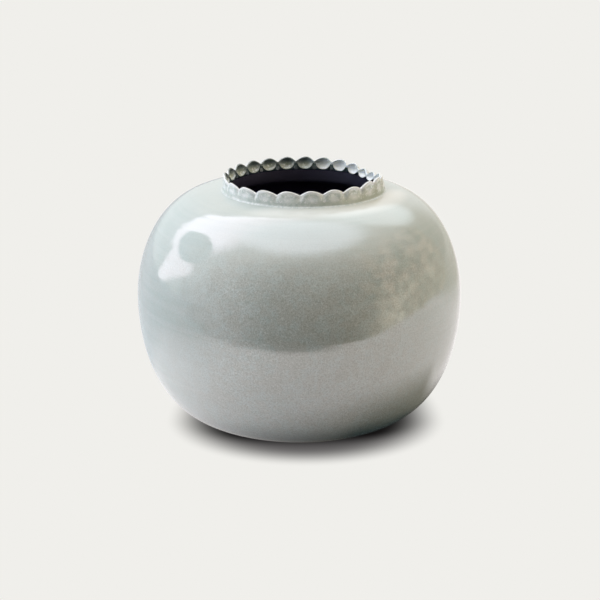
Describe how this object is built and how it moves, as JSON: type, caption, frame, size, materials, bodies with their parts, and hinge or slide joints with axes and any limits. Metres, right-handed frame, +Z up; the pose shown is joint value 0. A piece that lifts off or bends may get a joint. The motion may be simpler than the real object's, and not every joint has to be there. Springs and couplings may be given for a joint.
{
  "type": "globe vase",
  "caption": "Wide globe-shaped vase in pale celadon glaze with a low neck, a coil rim pinched into scallops and a dark glazed inside.",
  "frame": {"origin": "middle of the foot's underside, where the vase meets the table, under the body's axis", "axes": "+Z up along the body's axis; -Y is the side that faced the camera, +X is to its right"},
  "size_m": [0.21, 0.21, 0.1583],
  "materials": {
    "bare_clay": "unglazed fired stoneware, matt and slightly gritty",
    "celadon_glaze": "pale blue-green glossy glaze with a fine orange-peel surface",
    "liner_glaze": "near-black glossy glaze"
  },
  "bodies": {
    "root": {"foot_ring": "bare_clay", "lower_bowl": "bare_clay", "shoulder_dome": "bare_clay", "neck_collar": "bare_clay", "pinched_rim": "celadon_glaze", "outer_glaze": "celadon_glaze", "liner_glaze": "liner_glaze"}
  },
  "joints": []
}
